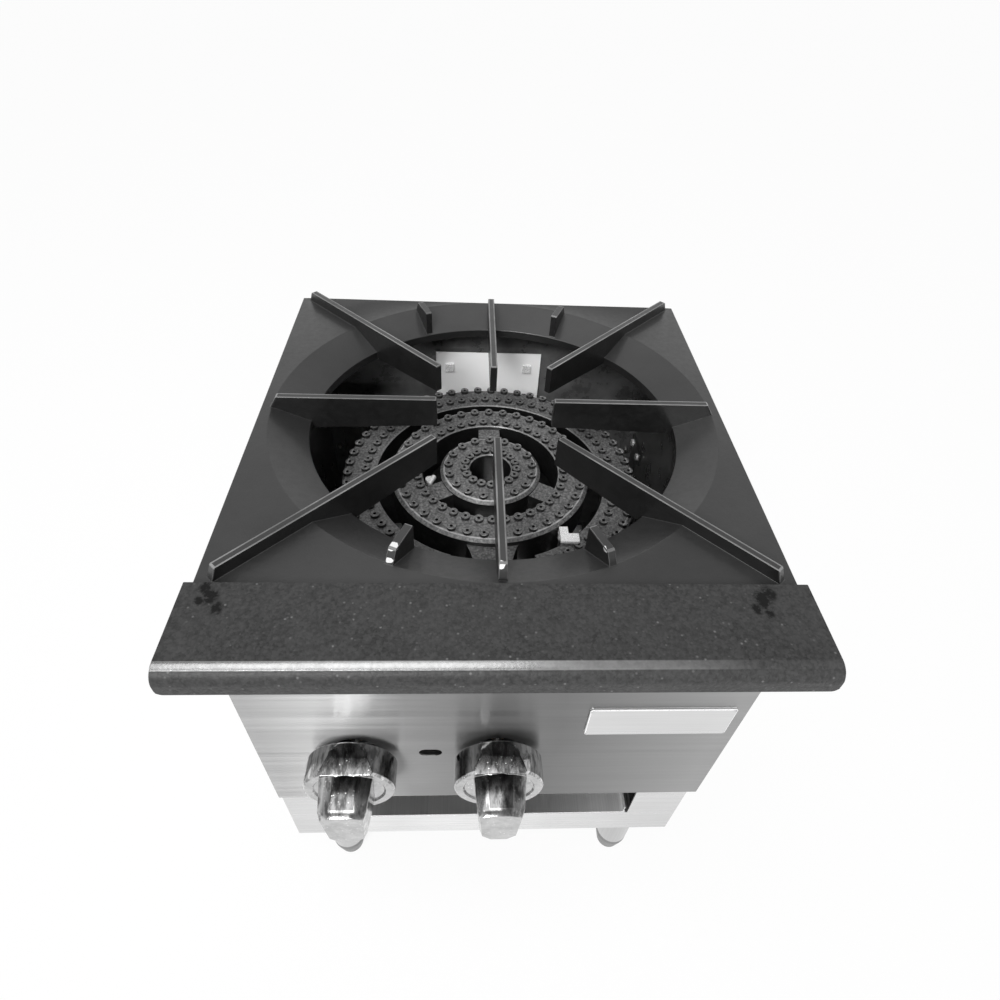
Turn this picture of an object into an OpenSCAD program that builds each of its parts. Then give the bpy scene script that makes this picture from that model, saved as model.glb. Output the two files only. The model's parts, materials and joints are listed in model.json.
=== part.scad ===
// Stock pot stove with one three-ring burner under a dished iron grate.
// X runs to the right, Y to the back and Z up from the floor.
// The footprint is centred on the origin; the burner axis stands a little behind it.

/* [Overall] */
// Height of the rib tops above the floor
overall_h = 610; // [580:1:660]

/* [Body] */
// Width of the body across its side panels
body_w = 440; // [432:1:460]
// Burner axis to the face of the front frame
body_front = 240; // [236:1:260]
// Burner axis to the outer face of the rear panel
body_back = 217.6; // [217.6:0.1:240]
// Thickness of the body sheets
sheet_t = 1.5; // [1.2:0.1:2]
// Width of the flanges turned in along the body's edges
flange_w = 18; // [16:1:19]
// Width of the stiles beside the window
stile_w = 56; // [52:1:64]
// Height of the window under the control panel
window_h = 67; // [58:1:72]
// Height of the front frame's lower rail, down to the body's underside
low_rail_h = 49.5; // [44:0.5:56]
// Height of the front frame's top rail
top_rail_h = 30; // [24:1:40]

/* [Top grate] */
// Thickness of the grate plate
plate_t = 8; // [6:0.5:10]
// Gap between the grate's skirts and the body
skirt_gap = 2; // [1:0.5:3]
// Thickness of the grate's side skirts
skirt_t = 4; // [3:0.5:5]
// Depth of the grate's side skirts below the plate
skirt_h = 8; // [5:1:12]
// Gap between the edge of the dish and the body's walls
dish_margin = 2; // [1:0.5:4]
// Radial width of the dish
dish_w = 36; // [30:1:42]
// Fall of the dish from the plate to its rim
dish_drop = 16; // [12:1:18]
// Height of the rim's hanging lip
rim_lip = 9; // [7:1:12]
// Thickness of the rim's hanging lip
rim_t = 6; // [5:0.5:8]
// Height of the ribs above the plate
rib_h = 11.5; // [9:0.5:14]
// Thickness of the ribs
rib_t = 7; // [6:0.5:9]
// Half side of the square between the inner rib ends
rib_square = 57.5; // [50:0.5:70]
// Depth of the inner rib ends below the plate's face
rib_tip_drop = 19; // [15:1:24]
// Run of the sloping outer end of a rib
rib_slope = 7; // [4:1:9]
// Angle of the short ribs from the front and back ribs
short_rib_angle = 23.4; // [18:0.1:28]
// Radius of the locating lugs under the plate
lug_r = 5; // [4:0.5:6]

/* [Front ledge] */
// Width of the ledge
ledge_w = 457; // [450:1:470]
// Reach of the ledge back over the front frame
ledge_seat = 16.6; // [12:0.1:17]
// Depth of the ledge from back edge to nose
ledge_d = 76; // [70:1:90]
// Height of the ledge's face above the grate plate
ledge_rise = 8.2; // [6:0.1:11]
// Height of the ledge's front lip
lip_h = 21.8; // [19:0.2:30]
// Radius of the ledge's nose
nose_r = 12; // [9:1:14]
// Wall of the ledge
ledge_t = 3; // [2.5:0.1:4]
// Radius of the lip's lower corners
lip_corner_r = 5; // [4:1:8]
// Width of the lip's turned-in hem
lip_hem = 14; // [12.5:0.5:18]
// Gap between ledge and grate
ledge_gap = 0.4; // [0.3:0.1:1]

/* [Control panel] */
// Width of the control panel
panel_w = 448; // [440:1:450]
// Offset of the control panel to the right of the body
panel_shift = 3; // [0:1:5]
// Depth of the panel in front of the front frame
panel_d = 3.6; // [3:0.1:8]
// Thickness of the panel sheet
panel_t = 1.2; // [1:0.1:1.5]
// Grate plate to the panel's lower edge
panel_drop = 330; // [325:1:340]
// Grate plate to the panel's upper edge
panel_top_drop = 18; // [16:1:30]
// Grate plate to the knob axes
knob_drop = 219; // [210:1:228]
// Right knob's axis, right of the panel's middle
knob_shift = 2; // [0:1:4]
// Distance between the knob axes
knob_pitch = 135; // [125:1:140]
// Radius of the panel's holes round the valve stems
panel_hole_r = 22.5; // [18:0.5:24]
// Width of the sight slot in front of the pilot valve
slot_w = 22; // [18:1:26]
// Height of the sight slot
slot_h = 13; // [10:1:15]
// Height of the sight slot's centre below the knob axes
slot_drop = 7; // [4:1:10]
// Width of the bare plate
badge_w = 132; // [110:1:140]
// Height of the bare plate
badge_h = 46; // [36:1:50]
// Thickness of the bare plate
badge_t = 3; // [2:0.5:4]
// Bare plate's centre, right of the panel's centre
badge_x = 146; // [135:1:150]
// Bare plate's centre below the grate plate
badge_drop = 163; // [150:1:175]

/* [Knobs] */
// Radius of the knob's skirt
knob_r = 41; // [36:0.5:44]
// Gap between panel and skirt
knob_gap = 10.5; // [8:0.5:16]
// Length of the skirt
skirt_l = 27; // [22:0.5:30]
// Reach of the grip in front of the skirt
grip_l = 33; // [24:1:36]
// Width of the grip at its shoulders
grip_w = 48; // [40:1:52]
// Radius of the valve stems
stem_r = 4; // [3.5:0.1:4.5]
// Radial running clearance of shafts
run_gap = 0.05; // [0.03:0.01:0.08]

/* [Burners] */
// Sideways place of the burners' axis
burner_x = -2; // [-3:1:0]
// Grate plate to the top of the inner burner's rings
inner_drop = 78; // [72:1:84]
// Grate plate to the top of the outer ring
outer_drop = 85; // [82:1:92]
// Grate plate to the burners' underside
seat_drop = 118; // [114:1:122]
// Hole radius of the inner ring
ring1_in = 22; // [18:1:26]
// Outer radius of the inner ring
ring1_out = 53.5; // [50:0.5:56]
// Hole radius of the middle ring
ring2_in = 72.6; // [70:0.2:76]
// Outer radius of the middle ring
ring2_out = 105.3; // [102:0.1:108]
// Hole radius of the outer ring
ring3_in = 122; // [118:1:124]
// Outer radius of the outer ring
ring3_out = 157; // [152:1:162]
// Half angle of the outer ring's open front
ring_gap_angle = 19; // [17:0.5:23]
// Radius of a port boss
boss_r = 4.6; // [3:0.1:4.7]
// Height of a port boss
boss_h = 3.4; // [1.5:0.1:3.6]
// Radius of a port
port_r = 1.6; // [1:0.1:1.8]
// Depth of a port
port_depth = 8; // [5:1:12]
// Distance between neighbouring ports along a ring's outer row
port_pitch = 16.4; // [16:0.1:20]
// Inner and middle ring: hole edge to the inner row's bosses
port_edge_in = 1.2; // [1:0.1:2]
// Inner and middle ring: outer edge to the outer row's bosses
port_edge_out = 3.9; // [3:0.1:4]
// Outer ring: hole edge to the inner row's bosses
outer_port_edge_in = 6.9; // [5:0.1:7]
// Outer ring: outer edge to the outer row's bosses
outer_port_edge_out = 0.9; // [0.8:0.1:4]
// Width of the webs between the inner and the middle ring
web_w = 24; // [18:1:28]
// Outer radius of the mixer tubes
mixer_r = 17; // [15:0.5:18]
// Bore radius of the mixer tubes
mixer_bore = 13; // [11:0.5:14]
// Radius of the mixer's bell
bell_r = 25; // [22:0.5:27]

/* [Burner supports] */
// Distance of the support bars from the burners' axis
bar_x = 50; // [46:1:54]
// Thickness of the support bars
bar_t = 6; // [5:0.5:8]
// Height of the support bars
bar_h = 25; // [20:1:30]
// Thickness of the rails
rail_t = 3; // [2.5:0.5:4]
// Width of the rails' shelves
rail_shelf = 20; // [15:1:25]
// Burner axis to the front rail
front_rail_y = 165; // [163:1:168]
// Burner axis to the rear rail
rear_rail_y = 199; // [190:1:204]

/* [Gas train] */
// Radius of the manifold and supply pipes
pipe_r = 13.35; // [12:0.05:14]
// Bore radius of the supply pipe
pipe_bore = 10.5; // [9:0.1:11]
// Knob axes to the manifold's axis
manifold_drop = 38; // [34:1:46]
// Supply pipe's distance from the body's right side
supply_inset = 35; // [34:1:40]
// Reach of the gas inlet behind the rear panel
inlet_reach = 24; // [22:1:36]
// Radius of the inlet's threaded end
inlet_r = 13; // [11.5:0.1:13.3]
// Length of the inlet's threaded end
inlet_l = 20; // [14:1:21]
// Radius of the feed tubes
feed_r = 4.8; // [4:0.1:5.5]
// Bend radius of the feed tubes
feed_bend = 8; // [7:0.5:9]
// Radius of the orifice spuds' noses
spud_r = 6; // [5:0.1:7]
// Radius of the pilot tubes
pilot_r = 3.2; // [2.5:0.1:3.5]
// Bend radius of the pilot tubes
pilot_bend = 10; // [8:1:14]

/* [Drip tray] */
// Gap on each side between tray and window
tray_gap = 3; // [2:0.5:5]
// Height of the tray's walls
tray_h = 25; // [18:1:34]
// Depth of the tray's flat pull lip
tray_lip = 46; // [35:1:60]
// Length of the tray
tray_l = 436; // [400:1:440]
// Thickness of the tray sheet
tray_t = 1.2; // [1:0.1:1.5]
// Running gap under the tray
tray_lift = 0.3; // [0.2:0.1:0.6]

/* [Legs] */
// Inset of the leg axes from the body's faces
leg_inset = 40; // [38:1:44]
// Radius of the leg tubes
leg_r = 20.6; // [18:0.1:22]
// Wall of the leg tubes
leg_wall = 1.6; // [1.2:0.1:2.5]
// Side of the square leg plates
leg_plate = 76; // [70:1:78]
// Thickness of the leg plates
leg_plate_t = 4; // [3:0.5:6]
// Half distance between the bolts of a leg plate
leg_bolt = 29; // [27.5:0.5:30]
// Height of the feet
foot_h = 38; // [32:1:44]
// Radius of the feet's stems
foot_stem_r = 8; // [6:0.5:9]
// Travel of the feet
foot_travel = 22; // [15:1:25]

/* [Fasteners] */
// Radius of bolt and screw shanks
bolt_r = 3; // [2.5:0.1:3.4]
// Radial clearance of bolt holes
bolt_gap = 0.2; // [0.1:0.05:0.4]

/* [Hidden] */
$fn = 64;
weld = 0.5;
axis_y = (knob_reach() - back_reach()) / 2;
grate_z = overall_h - rib_h;
body_top = grate_z - plate_t;
grate_w = body_w + 2 * (skirt_gap + skirt_t);
dish_r = min(body_w / 2, body_back + 2.4) - sheet_t - dish_margin;
rim_r = dish_r - dish_w;
ledge_back = body_front - ledge_seat;
ledge_front = ledge_back + ledge_d;
ledge_top = grate_z + ledge_rise;
ledge_bottom = ledge_top - lip_h;
grate_front = ledge_back - ledge_gap;
panel_y = body_front + panel_d;
panel_z0 = grate_z - panel_drop;
panel_z1 = grate_z - panel_top_drop;
window_z0 = panel_z0 - window_h;
leg_h = window_z0 - low_rail_h;
window_x = body_w / 2 - stile_w;
wall_x = body_w / 2 - sheet_t;
supply_x = body_w / 2 - supply_inset;
knob_z = grate_z - knob_drop;
right_knob_x = panel_shift + knob_shift;
left_knob_x = right_knob_x - knob_pitch;
slot_x = (left_knob_x + right_knob_x) / 2 + 3.5;
slot_z = knob_z - slot_drop;
seat_z = grate_z - seat_drop;
bar_z = seat_z - bar_h;
mixer_z = seat_z + mixer_r - 5;
bell_y = front_rail_y + 15;
orifice_y = bell_y + 9;
bracket_t = 2;
spud_hex = 5;
spud_end = orifice_y + bracket_t + spud_hex;
manifold_y = spud_end + feed_bend + 1;
manifold_z = knob_z - manifold_drop;
left_mixer_x = left_knob_x;
leg_x = body_w / 2 - leg_inset;
leg_front_y = body_front - leg_inset;
leg_back_y = body_back - leg_inset;
hole_r = bolt_r + bolt_gap;

function knob_reach() = body_front + panel_d + knob_gap + skirt_l + grip_l;
function back_reach() = body_back + inlet_reach;

// Moves a piece from the burner axis to its place over the footprint
module on_axis() {
    translate([0, axis_y, 0]) children();
}

// Block between two opposite corners
module block(a, b) {
    translate(a) cube(b - a);
}

// Round rod between two points
module rod(a, b, r) {
    d = b - a;
    length = norm(d);
    translate(a)
        rotate([0, acos(d.z / length), atan2(d.y, d.x)])
            cylinder(r = r, h = length);
}

// Quarter bend of a tube at corner p, from direction u into direction v
module elbow(p, u, v, bend, r) {
    c = p - bend * u + bend * v;
    w = cross(u, v);
    multmatrix([
        [-v.x, u.x, w.x, c.x],
        [-v.y, u.y, w.y, c.y],
        [-v.z, u.z, w.z, c.z]
    ])
        rotate_extrude(angle = 90) translate([bend, 0]) circle(r = r);
}

// Tube along square corners with rounded bends
module tube_run(points, r, bend) {
    last = len(points) - 1;
    function unit(i) = (points[i + 1] - points[i]) / norm(points[i + 1] - points[i]);
    for (i = [0 : last - 1]) {
        start = points[i] + (i > 0 ? bend : 0) * unit(i);
        stop = points[i + 1] - (i < last - 1 ? bend : 0) * unit(i);
        rod(start, stop, r);
    }
    for (i = [1 : last - 1]) elbow(points[i], unit(i - 1), unit(i), bend, r);
}

// Profile drawn in Y and Z, run along X about the middle
module run_along_x(length) {
    rotate([90, 0, 90]) linear_extrude(height = length, center = true) children();
}

// Screw with a hexagonal head at z = 0 and its shank upwards
module hex_bolt(length, head_r, head_h) {
    translate([0, 0, -head_h]) cylinder(r = head_r, h = head_h, $fn = 6);
    cylinder(r = bolt_r, h = length);
}

// Side view of a rib from its inner end to its sloping outer end
module rib_profile(inner, outer, tip_z, slope = rib_slope) {
    rotate([90, 0, 0])
        linear_extrude(height = rib_t, center = true)
            polygon([
                [inner, rib_h],
                [inner, tip_z],
                [max(inner, rim_r) + rim_t / 2, -dish_drop - rim_lip + 0.8],
                [rim_r + rim_t - 1, -dish_drop - 3],
                [min(dish_r, outer + slope - 1), -3],
                [outer + slope, -3],
                [outer + slope, 0],
                [outer, rib_h]
            ]);
}

// Outer ends of the long ribs keep inside the plate's edges
cross_rib_y = min(grate_front, body_back) - rib_slope - 4;
cross_rib_x = grate_w / 2 - rib_slope - 8.3;
corner_slope = 5;
corner_rib = min(grate_front, body_back) * sqrt(2) - rib_t / 2 - corner_slope - 0.5;

// Iron top grate
module top_grate() {
    color("#3b3c3e") on_axis() translate([0, 0, grate_z]) {
        difference() {
            block([-grate_w / 2, -grate_front, -plate_t], [grate_w / 2, body_back, 0]);
            translate([0, 0, -plate_t - 1]) cylinder(r = dish_r, h = plate_t + 2);
        }
        rotate_extrude()
            polygon([
                [dish_r + weld / 2, 0],
                [dish_r, 0],
                [rim_r, -dish_drop],
                [rim_r, -dish_drop - rim_lip],
                [rim_r + rim_t, -dish_drop - rim_lip],
                [rim_r + rim_t + 1, -dish_drop - 4],
                [dish_r - 1.5, -plate_t],
                [dish_r + weld / 2, -plate_t]
            ]);
        for (a = [0, 180]) rotate([0, 0, a])
            rib_profile(rib_square, cross_rib_x, -rib_tip_drop);
        for (a = [90, 270]) rotate([0, 0, a])
            rib_profile(rib_square, cross_rib_y, -rib_tip_drop);
        for (a = [45 : 90 : 315]) rotate([0, 0, a])
            rib_profile(rib_square * sqrt(2), corner_rib, -rib_tip_drop, corner_slope);
        for (a = [90, 270], s = [-1, 1]) rotate([0, 0, a + s * short_rib_angle])
            rib_profile(rim_r + 2, dish_r - rib_slope + 1, -dish_drop - 4);
        for (s = [-1, 1]) {
            skirt_x = s > 0 ? grate_w / 2 - skirt_t : -grate_w / 2;
            block([skirt_x, -grate_front, -plate_t - skirt_h],
                  [skirt_x + skirt_t, body_back, -plate_t + weld]);
            translate([s * (wall_x - flange_w - lug_r - 3),
                       body_back - sheet_t - flange_w - lug_r - 1, -plate_t - 6])
                cylinder(r = lug_r, h = 6 + weld);
        }
    }
}

// Ledge's outline in Y and Z
module ledge_outline() {
    translate([-ledge_front, ledge_bottom])
        square([ledge_front - panel_y - 4, lip_h - nose_r]);
    translate([-ledge_front + nose_r, ledge_bottom])
        square([ledge_front - panel_y - 4 - nose_r, lip_h]);
    translate([-panel_y - 4 - weld, body_top])
        square([panel_y + 4 + weld - ledge_back, ledge_top - body_top]);
    translate([-ledge_front + nose_r, ledge_top - nose_r]) circle(r = nose_r);
}

// Hollow under the ledge in Y and Z
module ledge_hollow() {
    inner_top = ledge_top - ledge_t;
    translate([-ledge_front + lip_hem, ledge_bottom - 1])
        square([ledge_front - lip_hem - ledge_back - ledge_t, inner_top - ledge_bottom + 1]);
    translate([-ledge_front + ledge_t, ledge_bottom + ledge_t])
        square([lip_hem, ledge_top - nose_r - ledge_bottom - ledge_t]);
    translate([-ledge_front + nose_r, ledge_bottom + ledge_t])
        square([lip_hem, inner_top - ledge_bottom - ledge_t]);
    translate([-ledge_front + nose_r, ledge_top - nose_r]) circle(r = nose_r - ledge_t);
}

ledge_bolt_x = body_w / 2 - 50;
ledge_bolt_y = (body_front + ledge_back) / 2 - 1.2;
ledge_boss_r = 6;

// Front ledge, a pressed shell with gussets and two bolt bosses
module front_ledge() {
    gusset_t = 4;
    color("#2f3032") on_axis() difference() {
        union() {
            difference() {
                intersection() {
                    run_along_x(ledge_w) ledge_outline();
                    translate([0, -ledge_back + 1, 0]) rotate([90, 0, 0])
                        linear_extrude(height = ledge_d + 2) ledge_front_view();
                }
                difference() {
                    run_along_x(ledge_w - 2 * ledge_t) ledge_hollow();
                    for (s = [-1, 0, 1])
                        translate([s * ledge_w / 3, -ledge_front, ledge_bottom + ledge_t])
                            translate([-gusset_t / 2, 0, 0])
                                cube([gusset_t, ledge_d, lip_h]);
                }
            }
            for (s = [-1, 1]) translate([s * ledge_bolt_x, -ledge_bolt_y, body_top])
                cylinder(r = ledge_boss_r, h = ledge_top - body_top - weld);
        }
        for (s = [-1, 1]) translate([s * ledge_bolt_x, -ledge_bolt_y, body_top - 1])
            cylinder(r = hole_r, h = 11);
    }
}

// Ledge seen from the front, with its lower corners rounded
module ledge_front_view() {
    r = lip_corner_r;
    translate([-ledge_w / 2 + r, ledge_bottom]) square([ledge_w - 2 * r, lip_h + 1]);
    translate([-ledge_w / 2, ledge_bottom + r]) square([ledge_w, lip_h + 1 - r]);
    for (s = [-1, 1]) translate([s * (ledge_w / 2 - r), ledge_bottom + r]) circle(r = r);
}

// Bolts that hold the ledge on the front frame's top flange
module ledge_bolts() {
    color("silver") on_axis() for (s = [-1, 1])
        translate([s * ledge_bolt_x, -ledge_bolt_y, body_top - sheet_t])
            hex_bolt(sheet_t + 9, 5.6, 4);
}

panel_screw_inset = 34.5;
panel_screw_x = body_w / 2 - panel_screw_inset;
panel_screw_z = panel_z1 - 8;

// Brushed control panel, a shallow tray open at the back
module control_panel() {
    color("#a9abad") on_axis() translate([panel_shift, 0, 0]) difference() {
        block([-panel_w / 2, -panel_y, panel_z0], [panel_w / 2, -body_front, panel_z1]);
        block([-panel_w / 2 + panel_t, -panel_y + panel_t, panel_z0 + panel_t],
              [panel_w / 2 - panel_t, -body_front + 1, panel_z1 - panel_t]);
        for (x = [left_knob_x, right_knob_x])
            translate([x - panel_shift, -body_front, knob_z]) rotate([90, 0, 0])
                cylinder(r = panel_hole_r, h = panel_d + 1);
        translate([slot_x - panel_shift, -body_front, slot_z]) rotate([90, 0, 0])
            linear_extrude(height = panel_d + 1) slot_outline();
        for (s = [-1, 1])
            translate([s * panel_screw_x, -body_front, panel_screw_z]) rotate([90, 0, 0])
                cylinder(r = hole_r, h = panel_d + 1);
    }
}

// Sight slot with round ends
module slot_outline() {
    r = slot_h / 2;
    square([slot_w - slot_h, slot_h], center = true);
    for (s = [-1, 1]) translate([s * (slot_w / 2 - r), 0]) circle(r = r);
}

// Screws through the panel's top into the front frame's rail, with spacers behind the panel
module panel_screws() {
    color("silver") on_axis() for (s = [-1, 1])
        translate([panel_shift + s * panel_screw_x, -panel_y, panel_screw_z])
            rotate([-90, 0, 0]) {
                translate([0, 0, -2.5]) cylinder(r = 5, h = 2.5);
                cylinder(r = bolt_r, h = panel_d + sheet_t + 6);
                translate([0, 0, panel_t]) cylinder(r = 5, h = panel_d - panel_t);
                translate([0, 0, panel_d + sheet_t]) cylinder(r = 5.5, h = 3, $fn = 6);
            }
}

// Bare plate on the panel
module badge_plate() {
    color("#c9cbcc") on_axis()
        translate([panel_shift + badge_x, -panel_y, grate_z - badge_drop])
            rotate([90, 0, 0]) linear_extrude(height = badge_t) badge_outline();
}

// Bare plate's outline with rounded corners
module badge_outline() {
    r = 3;
    square([badge_w - 2 * r, badge_h], center = true);
    square([badge_w, badge_h - 2 * r], center = true);
    for (x = [-1, 1], y = [-1, 1])
        translate([x * (badge_w / 2 - r), y * (badge_h / 2 - r)]) circle(r = r);
}

flange_x = body_w / 2 - flange_w - 0.5;

// Front frame: stiles, lower rail and top rail round one opening
module front_frame() {
    color("#c4c6c7") on_axis() difference() {
        union() {
            block([-body_w / 2, -body_front, leg_h], [body_w / 2, -body_front + sheet_t, body_top]);
            for (z = [leg_h, body_top - sheet_t])
                block([-flange_x, -body_front, z],
                      [flange_x, -body_front + sheet_t + flange_w, z + sheet_t]);
        }
        block([-window_x, -body_front - 1, window_z0],
              [window_x, -body_front + sheet_t + 1, body_top - top_rail_h]);
        for (s = [-1, 1]) {
            translate([s * ledge_bolt_x, -ledge_bolt_y, body_top - sheet_t - 1])
                cylinder(r = hole_r, h = sheet_t + 2);
            translate([panel_shift + s * panel_screw_x, -body_front - 1, panel_screw_z])
                rotate([-90, 0, 0]) cylinder(r = hole_r, h = sheet_t + 2);
        }
        leg_bolt_holes();
    }
}

// Bolt holes over the four legs, through the flanges and the base
module leg_bolt_holes() {
    for (x = [-1, 1], y = [-leg_front_y, leg_back_y], i = [-1, 1], j = [-1, 1])
        translate([x * leg_x + i * leg_bolt, y + j * leg_bolt, leg_h - 1])
            cylinder(r = hole_r, h = 2 * sheet_t + 2);
}

// Right side panel with flanges turned in on all four edges
module side_panel() {
    front = -body_front + sheet_t;
    back = body_back - sheet_t;
    difference() {
        union() {
            block([wall_x, front, leg_h], [body_w / 2, back, body_top]);
            for (z = [leg_h, body_top - sheet_t])
                block([body_w / 2 - flange_w, front, z], [body_w / 2, back, z + sheet_t]);
            for (y = [front, back - sheet_t])
                block([body_w / 2 - flange_w, y, leg_h], [body_w / 2, y + sheet_t, body_top]);
        }
        translate([0, 0, body_top - 2 * sheet_t]) cylinder(r = dish_r + 1, h = 3 * sheet_t);
        leg_bolt_holes();
        for (z = rear_screw_zs)
            translate([rear_screw_x, back - 2 * sheet_t, z]) rotate([-90, 0, 0])
                cylinder(r = hole_r, h = 3 * sheet_t);
    }
}

module left_side_panel() {
    color("#9a9c9e") on_axis() mirror([1, 0, 0]) side_panel();
}

module right_side_panel() {
    color("#9a9c9e") on_axis() difference() {
        side_panel();
        for (y = hanger_screw_ys)
            translate([wall_x - 1, y, hanger_z]) rotate([0, 90, 0])
                cylinder(r = hole_r, h = sheet_t + 2);
    }
}

rear_screw_x = body_w / 2 - flange_w / 2 - 1;
rear_screw_zs = [leg_h + 60, (leg_h + body_top) / 2, body_top - 60];

// Rear panel with a top flange under the grate and the gas inlet's hole
module rear_panel() {
    inner = body_back - sheet_t;
    color("#9a9c9e") on_axis() difference() {
        union() {
            block([-body_w / 2, inner, leg_h], [body_w / 2, body_back, body_top]);
            difference() {
                block([-flange_x, inner - flange_w, body_top - sheet_t],
                      [flange_x, inner + weld, body_top]);
                translate([0, 0, body_top - 2 * sheet_t])
                    cylinder(r = dish_r + 1, h = 3 * sheet_t);
            }
        }
        translate([supply_x, inner - 1, manifold_z]) rotate([-90, 0, 0])
            cylinder(r = pipe_r + 1, h = sheet_t + 2);
        for (s = [-1, 1], z = rear_screw_zs)
            translate([s * rear_screw_x, inner - 1, z]) rotate([-90, 0, 0])
                cylinder(r = hole_r, h = sheet_t + 2);
        for (s = [-1, 1])
            translate([s * shield_bolt_x, inner - 1, shield_bolt_z]) rotate([-90, 0, 0])
                cylinder(r = hole_r, h = sheet_t + 2);
    }
}

// Screws along the rear panel's sides
module rear_panel_screws() {
    color("silver") on_axis() for (s = [-1, 1], z = rear_screw_zs)
        translate([s * rear_screw_x, body_back, z]) rotate([90, 0, 0]) {
            translate([0, 0, -2.5]) cylinder(r = 5, h = 2.5);
            cylinder(r = bolt_r, h = 2 * sheet_t + 5);
        }
}

air_edge = 100;
air_front_edge = 120;

// Base panel with an air opening whose edge is turned up
module base_panel() {
    front = -body_front + 2 * sheet_t + 0.1;
    back = body_back - 2 * sheet_t - 0.1;
    floor_z = leg_h + sheet_t;
    hole = [body_w / 2 - air_edge, body_front - air_front_edge, body_back - air_edge];
    color("#8f9193") on_axis() difference() {
        union() {
            block([-wall_x + 0.1, front, floor_z], [wall_x - 0.1, back, floor_z + sheet_t]);
            block([-hole.x - sheet_t, -hole.y - sheet_t, floor_z],
                  [hole.x + sheet_t, hole.z + sheet_t, floor_z + 10]);
        }
        block([-hole.x, -hole.y, floor_z - 1], [hole.x, hole.z, floor_z + 11]);
        leg_bolt_holes();
    }
}

shield_w = 136;
shield_h = 90;
shield_top_drop = 66;
shield_off = 5;
shield_bolt_x = 50.5;
shield_bolt_z = grate_z - 88;

// Bright heat shield in front of the rear panel
module rear_shield() {
    y = body_back - sheet_t - shield_off;
    color("#d9dadb") on_axis() difference() {
        block([-shield_w / 2, y - 1.2, grate_z - shield_top_drop - shield_h],
              [shield_w / 2, y, grate_z - shield_top_drop]);
        for (s = [-1, 1]) translate([s * shield_bolt_x, y + 1, shield_bolt_z])
            rotate([90, 0, 0]) cylinder(r = hole_r, h = 4);
    }
}

// Square-headed bolts and spacers of the shield
module shield_bolts() {
    y = body_back - sheet_t - shield_off;
    color("silver") on_axis() for (s = [-1, 1]) translate([s * shield_bolt_x, 0, shield_bolt_z]) {
        block([-5.5, y - 4.2, -5.5], [5.5, y - 1.2, 5.5]);
        rod([0, y - 1.2 - weld, 0], [0, body_back + 3, 0], bolt_r);
        rod([0, y, 0], [0, body_back - sheet_t, 0], 6);
        translate([0, body_back, 0]) rotate([-90, 0, 0]) cylinder(r = 5.5, h = 3, $fn = 6);
    }
}

// Front cross rail: notched web for the mixers and a shelf for the bars
module front_burner_rail() {
    notch_r = mixer_r + 0.5;
    top = mixer_z + 8;
    color("#55575a") on_axis() difference() {
        union() {
            block([-wall_x, -front_rail_y, bar_z - rail_t], [wall_x, -front_rail_y + rail_t, top]);
            block([-wall_x, -front_rail_y, bar_z - rail_t],
                  [wall_x, -front_rail_y + rail_shelf, bar_z]);
        }
        for (x = [burner_x, left_mixer_x]) {
            translate([x, -front_rail_y - 1, mixer_z]) rotate([-90, 0, 0])
                cylinder(r = notch_r, h = rail_t + 2);
            block([x - notch_r, -front_rail_y - 1, mixer_z],
                  [x + notch_r, -front_rail_y + rail_t + 1, top + 1]);
        }
    }
}

// Rear cross rail with its shelf
module rear_burner_rail() {
    color("#55575a") on_axis() {
        block([-wall_x, rear_rail_y - rail_t, bar_z - rail_t], [wall_x, rear_rail_y, bar_z + 12]);
        block([-wall_x, rear_rail_y - rail_shelf, bar_z - rail_t], [wall_x, rear_rail_y, bar_z]);
    }
}

// Flat bar on edge that carries both burners
module support_bar(x) {
    color("#4b4d50") on_axis()
        block([x - bar_t / 2, -front_rail_y + rail_t + 0.1, bar_z],
              [x + bar_t / 2, rear_rail_y - rail_t - 0.1, seat_z]);
}

module left_support_bar() { support_bar(burner_x - bar_x); }
module right_support_bar() { support_bar(burner_x + bar_x); }

// Section of a cast ring with drafted walls and eased upper edges
module ring_section(r_in, r_out, h) {
    ease_in = 1;
    ease_out = 4;
    polygon([
        [r_in + 1, 0], [r_out - 1.5, 0], [r_out, h - 6], [r_out, h - 3],
        [r_out - ease_out, h], [r_in + ease_in, h], [r_in, h - ease_in], [r_in, h - 6]
    ]);
}

// A ring that has ports: hole radius, outer radius, radii of its outer and inner row
function ported(r_in, r_out, edge_in, edge_out) =
    [r_in, r_out, r_out - edge_out - boss_r, r_in + edge_in + boss_r];
inner_ring = ported(ring1_in, ring1_out, port_edge_in, port_edge_out);
middle_ring = ported(ring2_in, ring2_out, port_edge_in, port_edge_out);
outer_ring = ported(ring3_in, ring3_out, outer_port_edge_in, outer_port_edge_out);
boss_root = 4;

function port_count(r) = floor(2 * 180 / asin(port_pitch / 2 / r) / 2);

// Places children at the ports of a ring; the inner row is set half a step round
module at_ports(ring, skip) {
    count = port_count(ring[2]);
    for (row = [2, 3], i = [0 : count - 1]) {
        a = (i + row / 2 + 0.25) * 360 / count;
        if (abs(a - 270) > skip) rotate([0, 0, a]) translate([ring[row], 0, 0]) children();
    }
}

// Cast ring with its port bosses, h high
module ring_casting(ring, h, skip) {
    rotate_extrude() ring_section(ring[0], ring[1], h);
    translate([0, 0, h - boss_root]) at_ports(ring, skip)
        cylinder(r = boss_r, h = boss_root + boss_h);
}

// Ports of a ring, drilled from the bosses' tops
module ring_ports(ring, h, skip) {
    translate([0, 0, h - port_depth]) at_ports(ring, skip)
        cylinder(r = port_r, h = port_depth + boss_h + 1);
}

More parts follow.
